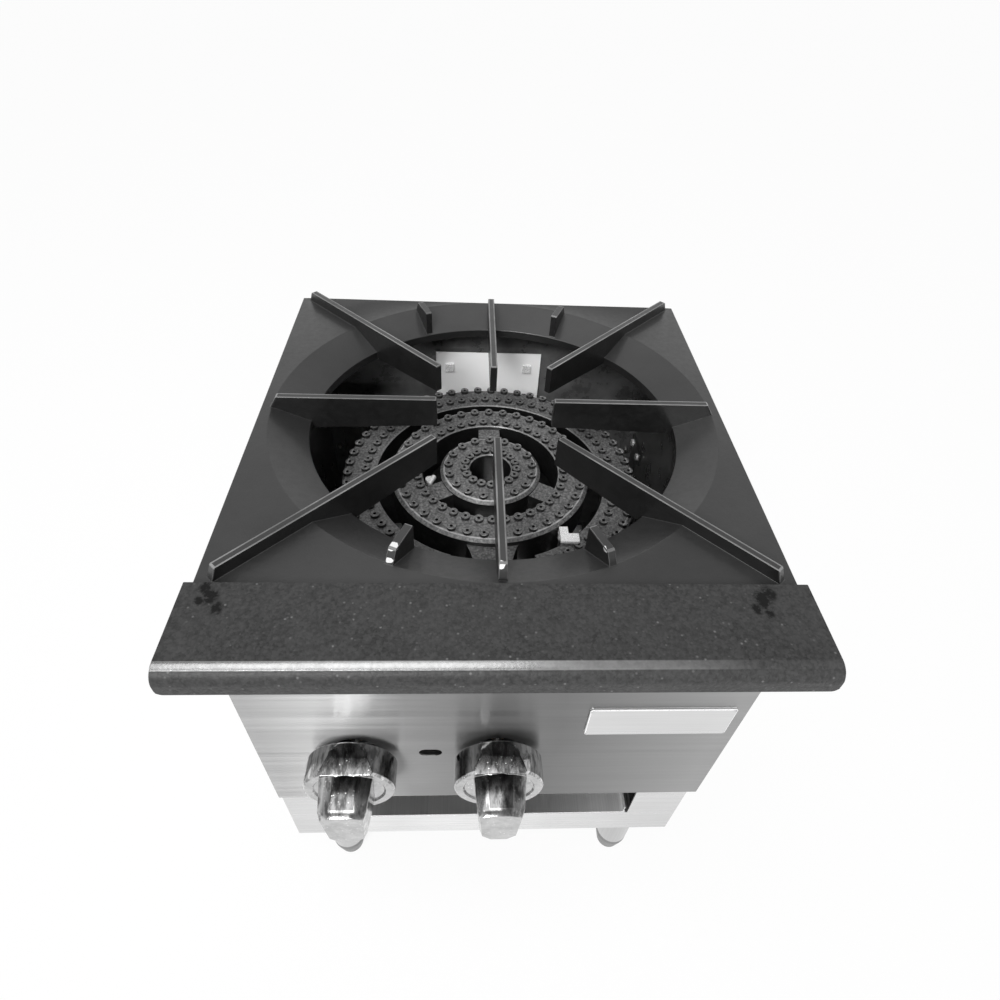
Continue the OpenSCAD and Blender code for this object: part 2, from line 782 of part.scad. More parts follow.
// Mixer tube with its bell, along Y from the bell to the burner
module mixer(stop) {
    rod([0, -bell_y + 4, 0], [0, stop, 0], mixer_r);
    rod([0, -bell_y, 0], [0, -bell_y + 6, 0], bell_r);
    rod([0, -bell_y + 6, 0], [0, -bell_y + 11, 0], (bell_r + mixer_r) / 2);
}

// Air windows and orifice hole in the bell's face
module mixer_openings() {
    rod([0, -bell_y + 6, 0], [0, -bell_y + 60, 0], mixer_bore);
    rod([0, -bell_y - 1, 0], [0, -bell_y + 8, 0], spud_r + 1);
    air_windows(-bell_y - 1, 9);
}

// Three round-ended air windows about the orifice
module air_windows(y, depth) {
    r = (spud_r + bell_r) / 2 + 0.5;
    for (a = [30, 150, 270]) rotate([0, a, 0])
        translate([r, y, 0]) rotate([-90, 0, 0]) cylinder(r = 5, h = depth);
}

// Outer burner: open ring with its mixer tube on the left
module outer_burner() {
    h = seat_drop - outer_drop;
    color("#333436") on_axis() difference() {
        union() {
            translate([burner_x, 0, seat_z]) difference() {
                ring_casting(outer_ring, h, ring_gap_angle + 3);
                translate([0, 0, -1]) linear_extrude(height = h + 6) front_wedge(ring_gap_angle);
                ring_ports(outer_ring, h, ring_gap_angle + 3);
            }
            translate([left_mixer_x, 0, mixer_z]) mixer(-62);
        }
        translate([left_mixer_x, 0, mixer_z]) mixer_openings();
    }
}

// Sector that opens towards the front
module front_wedge(half_angle) {
    reach = ring3_out * 1.3;
    polygon([[0, 0], [-reach * tan(half_angle), -reach], [reach * tan(half_angle), -reach]]);
}

// Inner burner: inner and middle ring, three webs, and the arm to its mixer
module inner_burner() {
    h = seat_drop - inner_drop;
    arm_h = seat_drop - outer_drop - 1;
    color("#333436") on_axis() difference() {
        union() {
            translate([burner_x, 0, seat_z]) difference() {
                union() {
                    ring_casting(inner_ring, h, -1);
                    ring_casting(middle_ring, h, -1);
                    for (a = [90, 210, 330]) rotate([0, 0, a])
                        block([ring1_out - 5, -web_w / 2, 4], [ring2_in + 5, web_w / 2, h - 5]);
                    linear_extrude(height = arm_h) arm_outline();
                }
                ring_ports(inner_ring, h, -1);
                ring_ports(middle_ring, h, -1);
            }
            translate([burner_x, 0, mixer_z]) mixer(-ring2_out - 10);
        }
        translate([burner_x, 0, mixer_z]) mixer_openings();
    }
}

// Plan of the arm: wide at the ring, mixer width at its end
module arm_outline() {
    y0 = -ring2_out + 8;
    polygon([
        [-27, y0], [-21.5, y0 - 14], [-mixer_r, y0 - 30], [-mixer_r, y0 - 44],
        [mixer_r, y0 - 44], [mixer_r, y0 - 30], [21.5, y0 - 14], [27, y0]
    ]);
}

// Channel across the mixers that holds both orifice spuds
module orifice_bracket() {
    left = left_mixer_x - bell_r - 8;
    right = burner_x + bell_r + 8;
    h = 20;
    color("#8b8d90") on_axis() difference() {
        block([left, -orifice_y - bracket_t, mixer_z - h / 2],
              [right, -front_rail_y, mixer_z + h / 2]);
        block([left + bracket_t, -orifice_y, mixer_z - h],
              [right - bracket_t, -front_rail_y + 1, mixer_z + h]);
        for (x = [burner_x, left_mixer_x])
            rod([x, -orifice_y - 3, mixer_z], [x, -orifice_y + 3, mixer_z], spud_r + run_gap);
    }
}

// Brass orifice spud with a hexagonal shoulder in front of the bracket
module orifice(x) {
    color("#b08d3c") on_axis() translate([x, 0, mixer_z]) difference() {
        union() {
            translate([0, -orifice_y - bracket_t, 0]) rotate([90, 0, 0])
                cylinder(r = 8.5, h = spud_hex, $fn = 6);
            rod([0, -orifice_y - 3, 0], [0, -bell_y + 3, 0], spud_r);
        }
        rod([0, -bell_y - 2, 0], [0, -bell_y + 4, 0], 1);
    }
}

module inner_orifice() { orifice(burner_x); }
module outer_orifice() { orifice(left_mixer_x); }

shutter_t = 1.2;

// Air shutter that turns on the spud in front of the bell
module air_shutter(x) {
    front = -bell_y - 0.3 - shutter_t;
    color("#8b8d90") on_axis() translate([x, 0, mixer_z]) difference() {
        union() {
            rod([0, front, 0], [0, front + shutter_t, 0], bell_r);
            rod([0, front - 3, 0], [0, front + weld, 0], spud_r + 2);
            block([-4, front - 5, bell_r - 3], [4, front + shutter_t, bell_r + 4]);
        }
        block([-5, front - 6, bell_r - 4], [5, front, bell_r + 2.5]);
        rod([0, front - 4, 0], [0, front + 3, 0], spud_r + run_gap);
        air_windows(front - 1, 4);
    }
}

module inner_air_shutter() { air_shutter(burner_x); }
module outer_air_shutter() { air_shutter(left_mixer_x); }

feed_z = knob_z + 30;

// Feed tube from a valve's outlet up to its orifice spud
module feed_tube(valve_x, spud_x) {
    low = [valve_x, -manifold_y, feed_z + 12];
    high = [spud_x, -manifold_y, feed_z + 45];
    corner = [spud_x, -manifold_y, mixer_z];
    color("#b9bbbd") on_axis() {
        rod([valve_x, -manifold_y, feed_z], low, feed_r);
        translate(low) sphere(r = feed_r);
        rod(low, high, feed_r);
        translate(high) sphere(r = feed_r);
        rod(high, corner - [0, 0, feed_bend], feed_r);
        elbow(corner, [0, 0, 1], [0, 1, 0], feed_bend, feed_r);
        rod(corner + [0, feed_bend, 0], [spud_x, -spud_end, mixer_z], feed_r);
    }
}

module inner_feed_tube() { feed_tube(right_knob_x, burner_x); }
module outer_feed_tube() { feed_tube(left_knob_x, left_mixer_x); }

// Brass gas valve: body, bonnet, inlet on the manifold, outlet upwards
module gas_valve(x) {
    color("#b08d3c") on_axis() translate([x, -manifold_y, knob_z]) difference() {
        union() {
            rod([0, -15, 0], [0, 14, 0], 12);
            rod([0, -26, 0], [0, -14, 0], 8.5);
            translate([0, -15, 0]) rotate([90, 0, 0]) cylinder(r = 11, h = 6, $fn = 6);
            rod([0, 0, 0], [0, 0, -manifold_drop + pipe_r + 5], 8.5);
            rod([0, 0, 0], [0, 0, feed_z - knob_z - 6], 7);
            translate([0, 0, feed_z - knob_z - 10]) cylinder(r = 8.5, h = 10, $fn = 6);
        }
        rod([0, -27, 0], [0, 4, 0], stem_r + run_gap);
    }
}

module left_gas_valve() { gas_valve(left_knob_x); }
module right_gas_valve() { gas_valve(right_knob_x); }

// Valve stem with a flat for the knob
module valve_stem(x) {
    tip = panel_y + knob_gap + skirt_l - 4;
    color("#b9bbbd") on_axis() translate([x, 0, knob_z]) difference() {
        rod([0, -tip, 0], [0, -manifold_y + 3, 0], stem_r);
        block([-stem_r, -tip - 1, stem_r * 0.65], [stem_r, -panel_y - 4, stem_r + 1]);
    }
}

module left_valve_stem() { valve_stem(left_knob_x); }
module right_valve_stem() { valve_stem(right_knob_x); }

// Outline of the grip seen from the front: flat top, wide shoulders, narrow foot
module grip_outline(s) {
    scale([s, s]) polygon([
        [-11.5, knob_r * 0.8], [11.5, knob_r * 0.8], [grip_w / 2, knob_r * 0.67],
        [grip_w / 2 - 4, -knob_r * 0.7], [10, -knob_r * 0.97],
        [-10, -knob_r * 0.97], [-grip_w / 2 + 4, -knob_r * 0.7], [-grip_w / 2, knob_r * 0.67]
    ]);
}

// Chrome knob: round skirt, sloping flat on top and a faceted grip bar
module knob(x) {
    back = knob_gap;
    rim = back + skirt_l;
    facet = knob_r * 0.985;
    color("#d5d7d9") on_axis() translate([x, -panel_y, knob_z]) rotate([90, 0, 0]) difference() {
        union() {
            translate([0, 0, 4]) cylinder(r = 12, h = back);
            difference() {
                rotate_extrude() polygon([
                    [0, back], [knob_r - 1.5, back], [knob_r, back + 1.5], [knob_r, rim - 2],
                    [knob_r - 1.6, rim], [knob_r - 8, rim], [knob_r - 10, rim - 2], [0, rim - 2]
                ]);
                translate([-50, facet, back]) rotate([15.1, 0, 0]) translate([0, 0, -5])
                    cube([100, 40, 90]);
            }
            hull() {
                translate([0, 0, rim - 5]) linear_extrude(height = 1) grip_outline(1);
                translate([0, 0, rim + grip_l - 7]) linear_extrude(height = 1) grip_outline(0.86);
            }
            hull() {
                translate([0, 0, rim + grip_l - 7]) linear_extrude(height = 1) grip_outline(0.86);
                translate([0, 0, rim + grip_l - 1]) linear_extrude(height = 1) grip_outline(0.76);
            }
        }
        difference() {
            cylinder(r = stem_r + run_gap, h = rim - 3);
            block([-6, stem_r * 0.65 + run_gap, 4], [6, 10, rim]);
        }
    }
}

module left_knob() { knob(left_knob_x); }
module right_knob() { knob(right_knob_x); }

pilot_outlets = [slot_x - 8, slot_x + 8];
pilot_top = knob_z + 22;

// Pilot valve behind the sight slot, with two outlets
module pilot_valve() {
    color("#b08d3c") on_axis() difference() {
        union() {
            rod([slot_x, -manifold_y, manifold_z + pipe_r + 5], [slot_x, -manifold_y, slot_z], 7);
            rod([slot_x, -manifold_y - 14, slot_z], [slot_x, -manifold_y + 9, slot_z], 8);
            block([slot_x - 13, -manifold_y - 6, slot_z], [slot_x + 13, -manifold_y + 6, slot_z + 14]);
            for (x = pilot_outlets)
                rod([x, -manifold_y, slot_z + 13], [x, -manifold_y, pilot_top], 5);
            rod([slot_x, -manifold_y - 19, slot_z], [slot_x, -manifold_y - 13, slot_z], 4.5);
        }
        block([slot_x - 5, -manifold_y - 20, slot_z - 0.6], [slot_x + 5, -manifold_y - 17, slot_z + 0.6]);
    }
}

front_pilot = [burner_x + 70, -86];
inner_pilot = [pilot_outlets[0], -11];
pilot_run_z = bar_z - rail_t - 14;
pilot_head_z = grate_z - inner_drop - 16;

// Pilot tube from the valve, under the front rail and up to its head
module pilot_tube(outlet_x, head, run_z) {
    color("#b9bbbd") on_axis() tube_run([
        [outlet_x, -manifold_y, pilot_top],
        [outlet_x, -manifold_y, run_z],
        [outlet_x, head.y, run_z],
        [head.x, head.y, run_z],
        [head.x, head.y, pilot_head_z]
    ], pilot_r, pilot_bend);
}

module front_pilot_tube() { pilot_tube(pilot_outlets[1], front_pilot, pilot_run_z); }

// Inner pilot tube, straight back from its outlet below the front pilot's tube
module inner_pilot_tube() {
    color("#b9bbbd") on_axis() tube_run([
        [inner_pilot.x, -manifold_y, pilot_top],
        [inner_pilot.x, -manifold_y, pilot_run_z - 12],
        [inner_pilot.x, inner_pilot.y, pilot_run_z - 12],
        [inner_pilot.x, inner_pilot.y, pilot_head_z]
    ], pilot_r, pilot_bend);
}

// Pilot head by the middle ring: a tip under a bent bright hood
module front_pilot_head() {
    x = front_pilot.x;
    y = front_pilot.y;
    z = pilot_head_z;
    color("#dcddde") on_axis() {
        rod([x, y, z], [x, y, z + 8], pilot_r + 1);
        block([x - 4, y - 4, z + 6], [x + 4, y + 2, z + 13]);
        block([x - 4, y - 18, z + 12.5], [x + 4.5, y + 2, z + 15.5]);
        block([x + 4, y - 18, z + 12.5], [x + 14.5, y - 7, z + 15.5]);
    }
}

// Pilot head between the inner and the middle ring
module inner_pilot_head() {
    x = inner_pilot.x;
    y = inner_pilot.y;
    z = pilot_head_z;
    color("#dcddde") on_axis() {
        rod([x, y, z], [x, y, z + 10], pilot_r + 1);
        rod([x, y - 7, z + 8], [x + 5, y + 5, z + 8], pilot_r - 0.4);
    }
}

tap_xs = [left_knob_x, slot_x, right_knob_x];
tap_r = 11;
elbow_r = pipe_r + 4.5;

// Manifold pipe with tap bosses and a plug at its left end
module gas_manifold() {
    left = -supply_x;
    color("#6d6f72") on_axis() translate([0, -manifold_y, manifold_z]) {
        rod([left, 0, 0], [supply_x - elbow_r, 0, 0], pipe_r);
        rod([left - 6, 0, 0], [left + 10, 0, 0], pipe_r + 3);
        for (x = tap_xs) rod([x, 0, 0], [x, 0, pipe_r + 5], tap_r);
    }
}

strap_w = 8;
strap_t = 3;
strap_foot = 9;
// The straps stand clear of the outermost tap
strap_x = max(window_x - strap_w, -left_knob_x + tap_r + strap_w / 2 + 2);

// Strap round the manifold, with its foot on the back of the right stile
module manifold_bracket() {
    front = -body_front + sheet_t;
    half = strap_w / 2;
    r = pipe_r + strap_t;
    translate([strap_x, 0, manifold_z]) difference() {
        union() {
            rod([-half, -manifold_y, 0], [half, -manifold_y, 0], r);
            block([-half, front, -r], [half, -manifold_y, r]);
            block([-half, front, -r - strap_foot], [2 * strap_foot, front + strap_t, r + strap_foot]);
        }
        rod([-strap_w, -manifold_y, 0], [strap_w, -manifold_y, 0], pipe_r + run_gap);
    }
}

// Both straps of the manifold
module manifold_brackets() {
    color("#8b8d90") on_axis() {
        manifold_bracket();
        mirror([1, 0, 0]) manifold_bracket();
    }
}

// Cast elbow between the manifold and the supply pipe
module supply_elbow() {
    color("#6d6f72") on_axis() translate([supply_x, -manifold_y, manifold_z]) {
        sphere(r = elbow_r - 1);
        rod([-elbow_r, 0, 0], [0, 0, 0], pipe_r + 2);
        rod([0, 0, 0], [0, elbow_r, 0], pipe_r + 2);
        rod([-elbow_r, 0, 0], [-elbow_r + 8, 0, 0], elbow_r);
        rod([0, elbow_r - 8, 0], [0, elbow_r, 0], elbow_r);
    }
}

// Supply pipe along the right wall, out through the rear panel
module supply_pipe() {
    color("#6d6f72") on_axis() translate([supply_x, 0, manifold_z]) difference() {
        union() {
            rod([0, -manifold_y + elbow_r, 0], [0, back_reach() - inlet_l, 0], pipe_r);
            rod([0, back_reach() - inlet_l, 0], [0, back_reach(), 0], inlet_r);
        }
        rod([0, -manifold_y + elbow_r + 10, 0], [0, back_reach() + 1, 0], pipe_bore);
    }
}

hanger_y = 189;
hanger_l = 48;
hanger_h = 20;
hanger_screw_ys = [hanger_y - hanger_l / 3, hanger_y + hanger_l / 3];
hanger_drop = 206;
hanger_z = grate_z - hanger_drop;

// Hanger that ties the supply pipe to the right wall
module pipe_hanger() {
    w = 12;
    color("#8b8d90") on_axis() difference() {
        union() {
            block([wall_x - strap_t, hanger_y - hanger_l / 2, hanger_z - hanger_h / 2],
                  [wall_x, hanger_y + hanger_l / 2, hanger_z + hanger_h / 2]);
            block([wall_x - strap_t, hanger_y - w / 2, manifold_z - pipe_r],
                  [wall_x, hanger_y + w / 2, hanger_z]);
            block([supply_x, hanger_y - w / 2, manifold_z - 3], [wall_x, hanger_y + w / 2, manifold_z + 3]);
            rod([supply_x, hanger_y - w / 2, manifold_z],
                [supply_x, hanger_y + w / 2, manifold_z], pipe_r + 3);
        }
        rod([supply_x, hanger_y - w, manifold_z], [supply_x, hanger_y + w, manifold_z],
            pipe_r + run_gap);
        for (y = hanger_screw_ys)
            rod([wall_x - 4, y, hanger_z], [wall_x + 1, y, hanger_z], hole_r);
    }
}

// Bright screws of the pipe hanger
module hanger_screws() {
    color("silver") on_axis() for (y = hanger_screw_ys) translate([0, y, hanger_z]) {
        rod([wall_x - 6, 0, 0], [wall_x - 3, 0, 0], 5);
        rod([wall_x - 4, 0, 0], [wall_x + sheet_t, 0, 0], bolt_r);
    }
}

tray_x = window_x - tray_gap;
tray_z = window_z0 + tray_lift;

// Drip tray with a flat pull lip in the window
module drip_tray() {
    front = -body_front;
    color("#8d8f92") on_axis() {
        block([-tray_x, front, tray_z], [tray_x, front + tray_l, tray_z + tray_t]);
        difference() {
            block([-tray_x, front + tray_lip, tray_z], [tray_x, front + tray_l, tray_z + tray_h]);
            block([-tray_x + tray_t, front + tray_lip + tray_t, tray_z + tray_t],
                  [tray_x - tray_t, front + tray_l - tray_t, tray_z + tray_h + 1]);
        }
        for (s = [-1, 1]) {
            x = s > 0 ? tray_x - tray_t : -tray_x;
            block([x, front + 2, tray_z], [x + tray_t, front + tray_lip + 1, tray_z + 9]);
        }
    }
}

// Angle runner under one side of the tray
module tray_runner() {
    front = -body_front + sheet_t;
    back = body_back - sheet_t;
    block([window_x - 14, front, window_z0 - sheet_t], [window_x + 2.5, back, window_z0]);
    block([window_x + 1, front, window_z0 - sheet_t], [window_x + 2.5, back, window_z0 + 12]);
    block([window_x + 1, front, window_z0 - sheet_t], [window_x + 14, front + sheet_t, window_z0 + 12]);
    block([window_x + 1, back - sheet_t, window_z0 - sheet_t], [window_x + 14, back, window_z0 + 12]);
}

module left_tray_runner() {
    color("#8f9193") on_axis() mirror([1, 0, 0]) tray_runner();
}

module right_tray_runner() {
    color("#8f9193") on_axis() tray_runner();
}

leg_floor = 12;

// Leg: plate, tube and the threaded end that takes the foot
module leg(x, y) {
    color("#c4c6c7") on_axis() translate([x, y, 0]) difference() {
        union() {
            block([-leg_plate / 2, -leg_plate / 2, leg_h - leg_plate_t],
                  [leg_plate / 2, leg_plate / 2, leg_h]);
            translate([0, 0, foot_h]) cylinder(r = leg_r, h = leg_h - foot_h - leg_plate_t + weld);
        }
        translate([0, 0, foot_h + leg_floor])
            cylinder(r = leg_r - leg_wall, h = leg_h - foot_h - leg_floor - leg_plate_t);
        translate([0, 0, foot_h - 1]) cylinder(r = foot_stem_r + run_gap, h = leg_floor + 2);
        for (i = [-1, 1], j = [-1, 1])
            translate([i * leg_bolt, j * leg_bolt, leg_h - leg_plate_t - 1])
                cylinder(r = hole_r, h = leg_plate_t + 2);
    }
}

module front_left_leg() { leg(-leg_x, -leg_front_y); }
module front_right_leg() { leg(leg_x, -leg_front_y); }
module rear_left_leg() { leg(-leg_x, leg_back_y); }
module rear_right_leg() { leg(leg_x, leg_back_y); }

// Adjustable bullet foot with its stem
module foot(x, y) {
    color("#6d6f72") on_axis() translate([x, y, 0]) rotate_extrude() polygon([
        [0, 0], [leg_r - 7, 0], [leg_r - 5, 2.5], [leg_r - 0.6, foot_h - 12],
        [leg_r, foot_h - 8], [leg_r, foot_h], [foot_stem_r, foot_h],
        [foot_stem_r, foot_h + leg_floor + foot_travel - 1.5],
        [foot_stem_r - 1.5, foot_h + leg_floor + foot_travel], [0, foot_h + leg_floor + foot_travel]
    ]);
}

module front_left_foot() { foot(-leg_x, -leg_front_y); }
module front_right_foot() { foot(leg_x, -leg_front_y); }
module rear_left_foot() { foot(-leg_x, leg_back_y); }
module rear_right_foot() { foot(leg_x, leg_back_y); }

// Bolts and nuts through leg plates, flanges and base
module leg_bolts() {
    base_top = leg_h + 2 * sheet_t;
    color("silver") on_axis()
        for (x = [-1, 1], y = [-leg_front_y, leg_back_y], i = [-1, 1], j = [-1, 1])
            translate([x * leg_x + i * leg_bolt, y + j * leg_bolt, leg_h - leg_plate_t]) {
                hex_bolt(base_top - leg_h + leg_plate_t + 5, 5.6, 4);
                translate([0, 0, base_top - leg_h + leg_plate_t])
                    cylinder(r = 5.6, h = 3.5, $fn = 6);
            }
}

top_grate();
front_ledge();
control_panel();
badge_plate();
front_frame();
left_side_panel();
right_side_panel();
rear_panel();
base_panel();
rear_shield();
shield_bolts();
front_burner_rail();
rear_burner_rail();
left_support_bar();
right_support_bar();
outer_burner();
inner_burner();
orifice_bracket();
inner_orifice();
outer_orifice();
inner_air_shutter();
outer_air_shutter();
inner_feed_tube();
outer_feed_tube();
left_gas_valve();
right_gas_valve();
left_valve_stem();
right_valve_stem();
left_knob();
right_knob();
pilot_valve();
front_pilot_tube();
inner_pilot_tube();
front_pilot_head();
inner_pilot_head();
gas_manifold();
manifold_brackets();
supply_elbow();
supply_pipe();
pipe_hanger();
hanger_screws();
drip_tray();
left_tray_runner();
right_tray_runner();
front_left_leg();
front_right_leg();
rear_left_leg();
rear_right_leg();
front_left_foot();
front_right_foot();
rear_left_foot();
rear_right_foot();
ledge_bolts();
leg_bolts();
panel_screws();
rear_panel_screws();
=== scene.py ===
import json
import math

import bmesh
import bpy
from mathutils import Matrix, Vector


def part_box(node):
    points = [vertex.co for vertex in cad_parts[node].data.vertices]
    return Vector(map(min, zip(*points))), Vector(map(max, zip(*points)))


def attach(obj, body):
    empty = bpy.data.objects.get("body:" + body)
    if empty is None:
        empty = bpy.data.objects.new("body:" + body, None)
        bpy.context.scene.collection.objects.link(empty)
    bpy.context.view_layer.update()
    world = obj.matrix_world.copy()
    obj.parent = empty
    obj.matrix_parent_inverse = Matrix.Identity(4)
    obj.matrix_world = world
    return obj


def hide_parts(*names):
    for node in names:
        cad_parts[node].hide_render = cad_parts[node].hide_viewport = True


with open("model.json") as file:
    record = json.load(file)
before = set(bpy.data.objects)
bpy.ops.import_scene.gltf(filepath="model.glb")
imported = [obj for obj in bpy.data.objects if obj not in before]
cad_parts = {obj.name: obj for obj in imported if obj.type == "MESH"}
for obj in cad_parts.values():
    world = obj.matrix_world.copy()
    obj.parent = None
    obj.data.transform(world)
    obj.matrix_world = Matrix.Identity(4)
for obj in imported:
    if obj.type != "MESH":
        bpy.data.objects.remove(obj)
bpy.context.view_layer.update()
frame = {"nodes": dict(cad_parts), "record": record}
NODES = frame["nodes"]
BODY_OF = {n: b for b, ns in frame["record"]["behaviour"]["bodies"].items() for n in ns}

# Places of the CAD model that the materials and the camera refer to, in metres
AXIS_Y = 0.03625        # centre of the dish, and of the burner rings, along the depth
GRATE_Z = 0.5985        # upper face of the grate's plate
BURNER_X = -0.002       # centre of the burner rings across the width
NOSE_R = 0.012          # radius of the ledge's nose

# Edges of the burner rings, where a highlight is painted: radius and half width in mm,
# and how bright that painted highlight is
RIM_HIGHLIGHTS = ((22.6, 0.7, 0.5), (49.6, 0.9, 1.0), (73.2, 0.7, 0.5),
        (101.4, 0.9, 1.0), (122.6, 0.7, 0.4), (153.2, 0.9, 0.7))
RIMS_SPAN_MM = 200.0    # radius at the right end of their colour ramp

# Pale spots of painted highlight on the ends of the front ribs, drawn like chip marks:
# centre and half sizes, in metres
RIB_END_GLINTS = (((-0.0835, -0.1545, 0.6095), (0.0065, 0.0055, 0.0045)),
         ((-0.0860, -0.1615, 0.6015), (0.0060, 0.0030, 0.0028)),
         ((-0.0020, -0.1712, 0.6085), (0.0045, 0.0050, 0.0045)),
         ((0.0790, -0.1560, 0.6085), (0.0020, 0.0060, 0.0030)))

# Dark marks at the ledge's ends, smudge marks and at the left end partly a painted shadow
# of the rib's end: x, y from the dish's centre, and 1 / half sizes, in metres
SMUDGES_AND_SHADOW = ((-0.206, -0.236, 130, 95), (-0.199, -0.246, 170, 120),
           (-0.211, -0.228, 160, 110), (-0.213, -0.240, 190, 170),
           (0.189, -0.238, 110, 80), (0.195, -0.232, 120, 105),
           (0.182, -0.246, 190, 150), (0.190, -0.250, 210, 150))

# Where the ledge's nose has a band that is glossy from wear and carries a painted
# highlight: the direction that the middle of the band faces, as its forward and upward
# parts, how far the surface reaches that way, and where along the width (x + 0.5) the band
# fades out
NOSE_AHEAD, NOSE_UP = 0.276, 0.961
NOSE_BAND = [(0.957, 0.0), (0.972, 1.0)]
NOSE_FADE = [(0.50, 1.0), (0.67, 0.04)]

scene = bpy.context.scene
scene.view_settings.view_transform = "Standard"


# ---------------------------------------------------------------- camera
def photo_camera():
    """The photo's camera, solved from the grate, the dish and the panel."""
    right = Vector((0.99836, -0.03212, 0.04738))
    up = Vector((-0.01153, 0.69794, 0.71607))
    ahead = Vector((0.05607, 0.71544, -0.69642))
    place = Vector((-0.0300, -0.5158 + AXIS_Y, 0.3797 + GRATE_Z))
    focal = 0.6432      # focal length over the picture's width
    data = bpy.data.cameras.new("photo_camera")
    data.sensor_width = 36.0
    data.lens = data.sensor_width * focal
    data.shift_y = -0.002
    data.clip_start = 0.01
    camera = bpy.data.objects.new("photo_camera", data)
    scene.collection.objects.link(camera)
    camera.matrix_world = Matrix((
        (right.x, up.x, -ahead.x, place.x),
        (right.y, up.y, -ahead.y, place.y),
        (right.z, up.z, -ahead.z, place.z),
        (0, 0, 0, 1),
    ))
    scene.camera = camera


photo_camera()


# ---------------------------------------------------------------- material helpers
class Nodes:
    """Small helper that adds and links shader nodes."""

    def __init__(self, tree):
        self.tree = tree

    def fill(self, node, inputs):
        """Links each input that is a socket, and sets each one that is a value."""
        for key, value in inputs.items():
            if isinstance(value, bpy.types.NodeSocket):
                self.tree.links.new(value, node.inputs[key])
            else:
                node.inputs[key].default_value = value

    def add(self, kind, inputs=None, **values):
        node = self.tree.nodes.new(kind)
        for key, value in values.items():
            setattr(node, key, value)
        self.fill(node, inputs or {})
        return node

    def math(self, operation, a, b=0.0, clamp=False):
        node = self.add("ShaderNodeMath", {0: a, 1: b}, operation=operation, use_clamp=clamp)
        return node.outputs[0]

    def plus(self, a, b):
        return self.math("ADD", a, b)

    def times(self, a, b):
        return self.math("MULTIPLY", a, b)

    def ramp(self, fac, stops):
        node = self.add("ShaderNodeValToRGB", {0: fac})
        elements = node.color_ramp.elements
        while len(elements) < len(stops):
            elements.new(0.5)
        for element, (at, tone) in zip(elements, stops):
            element.position = at
            element.color = grey(tone) if isinstance(tone, float) else tone
        return node.outputs[0]

    def mix(self, fac, a, b, blend_type="MIX"):
        node = self.add("ShaderNodeMix", {0: fac, 6: a, 7: b},
                        data_type="RGBA", blend_type=blend_type)
        return node.outputs[2]

    def noise(self, coord, scale, detail=4.0, rough=0.55, stretch=(1, 1, 1), offset=(0, 0, 0)):
        vector = self.add("ShaderNodeMapping", {
            "Vector": coord, "Scale": stretch, "Location": offset}).outputs[0]
        return self.add("ShaderNodeTexNoise", {
            "Vector": vector, "Scale": scale, "Detail": detail, "Roughness": rough}).outputs[0]

    def cells(self, coord, scale):
        """Distance to the nearest cell's centre, and a random value of each cell."""
        node = self.add("ShaderNodeTexVoronoi", {"Vector": coord, "Scale": scale})
        value = self.add("ShaderNodeTexWhiteNoise", {"Vector": node.outputs["Position"]})
        return node.outputs["Distance"], value.outputs["Value"]

    def away(self, coord, centre, scale):
        """Distance from centre, after each axis is scaled: 1 on an ellipsoid around it."""
        at = self.add("ShaderNodeMapping", {
            "Vector": coord, "Location": [-c * k for c, k in zip(centre, scale)],
            "Scale": scale}).outputs[0]
        return self.add("ShaderNodeVectorMath", {0: at}, operation="LENGTH").outputs["Value"]

    def normal(self, axis):
        """One axis of the face's own normal, in world space."""
        normal = self.add("ShaderNodeNewGeometry").outputs["True Normal"]
        return self.add("ShaderNodeSeparateXYZ", {"Vector": normal}).outputs[axis]

    def bump(self, height, strength, distance):
        return self.add("ShaderNodeBump", {
            "Height": height, "Strength": strength, "Distance": distance}).outputs[0]


def grey(v, warm=0.0):
    return (v * (1 + warm), v, v * (1 - warm), 1.0)


def new_material(name):
    """A material, its Nodes helper, its shader, and object coordinates whole and split."""
    m = bpy.data.materials.new(name)
    m.use_nodes = True
    n = Nodes(m.node_tree)
    coord = n.add("ShaderNodeTexCoord").outputs["Object"]
    xyz = n.add("ShaderNodeSeparateXYZ", {"Vector": coord}).outputs
    return m, n, m.node_tree.nodes["Principled BSDF"], coord, xyz


def facing_up(n, low=0.25, high=0.85):
    """1 on faces that look up, 0 on upright ones."""
    return n.ramp(n.normal(2), [(low, 0.0), (high, 1.0)])


def painted_rim_highlights(n, xyz):
    """1 along the edges of the three burner rings, where a highlight is painted."""
    squares = [n.math("POWER", n.math("SUBTRACT", axis, at), 2.0)
               for axis, at in ((xyz[0], BURNER_X), (xyz[1], AXIS_Y))]
    r = n.math("DIVIDE", n.math("SQRT", n.plus(*squares)), RIMS_SPAN_MM / 1000)
    stops = [(0.0, 0.0)]
    for at, half, value in RIM_HIGHLIGHTS:
        core = half * 0.4
        stops += [((at - half) / RIMS_SPAN_MM, 0.0), ((at - core) / RIMS_SPAN_MM, value),
                  ((at + core) / RIMS_SPAN_MM, value), ((at + half) / RIMS_SPAN_MM, 0.0)]
    return n.ramp(r, stops)


def painted_glint_spots(n, coord, spots):
    """1 inside small spots of painted highlight, each given by its centre and its half sizes."""
    mask = None
    for centre, half in spots:
        far = n.away(coord, centre, [1 / h for h in half])
        mask = far if mask is None else n.math("MINIMUM", mask, far)
    ragged = n.plus(mask, n.times(n.noise(coord, 500.0, 3.0, 0.6), 0.5))
    return n.ramp(ragged, [(0.95, 1.0), (1.0, 0.0)])


